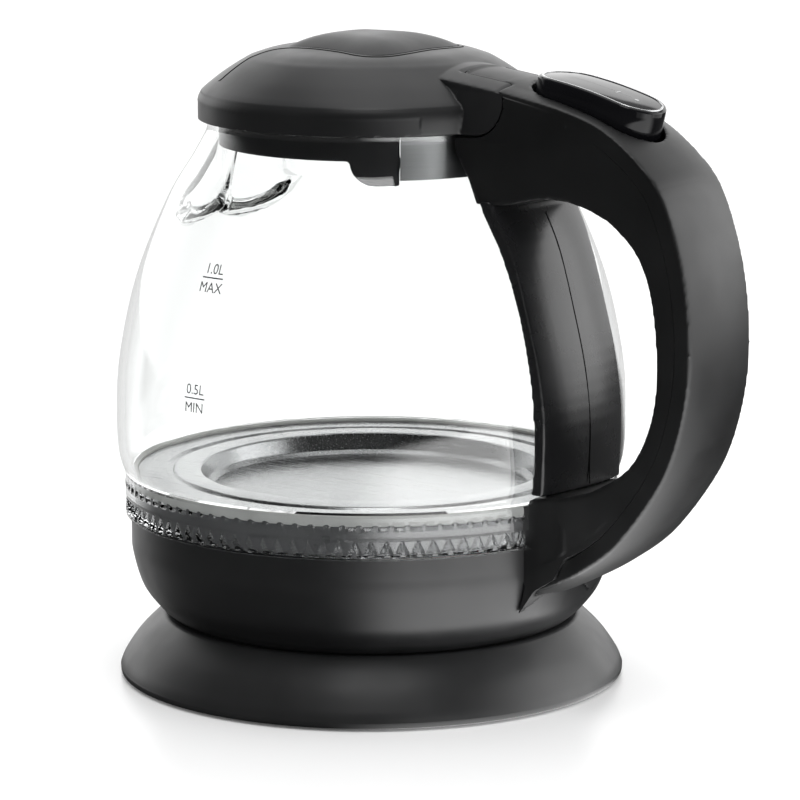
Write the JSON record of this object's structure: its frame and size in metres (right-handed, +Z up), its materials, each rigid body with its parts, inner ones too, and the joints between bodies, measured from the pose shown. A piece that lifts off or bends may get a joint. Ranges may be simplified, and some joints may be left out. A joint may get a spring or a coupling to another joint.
{
  "type": "electric kettle",
  "caption": "Cordless glass kettle with a flip lid, loop handle, light ring and heating plate, standing on a round 360 degree power base.",
  "frame": {"origin": "centre of the base's underside, on the surface it stands on, on the jug's axis", "axes": "+Z up the jug's axis, +X towards the handle, -X towards the spout, +Y to the handle's left side seen from the spout"},
  "size_m": [0.1944, 0.1468, 0.1858],
  "materials": {
    "base_plastic": "matt black, fine grain",
    "housing_plastic": "matt black, fine grain",
    "dark_plastic": "matt black",
    "handle_plastic": "satin black",
    "column_plastic": "semi-gloss black",
    "lid_plastic": "matt black",
    "liner_plastic": "satin black",
    "rocker_plastic": "gloss black",
    "rim_chrome": "polished",
    "clear_glass": "clear borosilicate",
    "clear_ring": "clear moulded acrylic",
    "plate_steel": "brushed",
    "deflector_steel": "satin",
    "spreader_aluminium": "as rolled",
    "element_metal": "oxidised sheath",
    "contact_brass": "bare",
    "screw_steel": "zinc plated",
    "bimetal": "bare",
    "foot_rubber": "soft grey",
    "seal_rubber": "translucent silicone",
    "bush_rubber": "black",
    "control_plastic": "natural nylon",
    "board": "solder mask",
    "led_lens": "clear",
    "wire_cover": "silicone insulation"
  },
  "bodies": {
    "base": {"base_shell": "base_plastic", "base_cover": "dark_plastic", "foot_ring": "foot_rubber", "base_screws": "screw_steel", "base_socket": "dark_plastic", "live_contact": "contact_brass", "neutral_contact": "contact_brass", "earth_contact": "contact_brass", "inlet_bush": "bush_rubber"},
    "connector": {"connector_pin": "contact_brass"},
    "jug": {"lower_housing": "housing_plastic", "housing_screws": "screw_steel", "control_housing": "control_plastic", "neutral_ring": "contact_brass", "earth_ring": "screw_steel", "cutout_discs": "bimetal", "control_screws": "screw_steel", "heating_element": "element_metal", "heat_spreader": "spreader_aluminium", "heating_plate": "plate_steel", "plate_seal": "seal_rubber", "light_ring": "clear_ring", "led_board": "board", "leds": "led_lens", "glass_body": "clear_glass", "steam_deflector": "deflector_steel", "handle_body": "handle_plastic", "handle_spine": "handle_plastic", "column_cover": "column_plastic", "handle_screws": "screw_steel", "wire_harness": "wire_cover", "steam_switch": "control_plastic", "steam_bimetal": "bimetal", "snap_spring": "bimetal", "hinge_pin": "screw_steel", "rocker_pin": "screw_steel"},
    "lid": {"lid_cover": "lid_plastic", "lid_island": "lid_plastic", "lid_liner": "liner_plastic", "lid_screws": "screw_steel"},
    "power_switch": {"power_rocker": "rocker_plastic", "rocker_trim": "rim_chrome"},
    "trip": {"trip_lever": "control_plastic"}
  },
  "joints": [
    {"name": "jug_lift", "type": "slide", "parent": "base", "child": "connector", "axis": [0, 0, 1], "range_m": [0, 0.12]},
    {"name": "jug_swivel", "type": "hinge", "parent": "connector", "child": "jug", "pos_m": [0, 0, 0], "axis": [0, 0, 1], "continuous": true},
    {"name": "lid_hinge", "type": "hinge", "parent": "jug", "child": "lid", "pos_m": [0.05, 0, 0.17], "axis": [0, 1, 0], "range_deg": [0, 75]},
    {"name": "switch_rocker", "type": "hinge", "parent": "jug", "child": "power_switch", "pos_m": [0.07855, 0, 0.16711], "axis": [0, 1, 0], "range_deg": [0, 6]},
    {"name": "trip_turn", "type": "hinge", "parent": "jug", "child": "trip", "pos_m": [0.078, 0, 0.1585], "axis": [0, 1, 0], "range_deg": [-12, 0]}
  ],
  "couplings": [
    {"joint": "trip_turn", "follows": "switch_rocker", "ratio": -2}
  ]
}
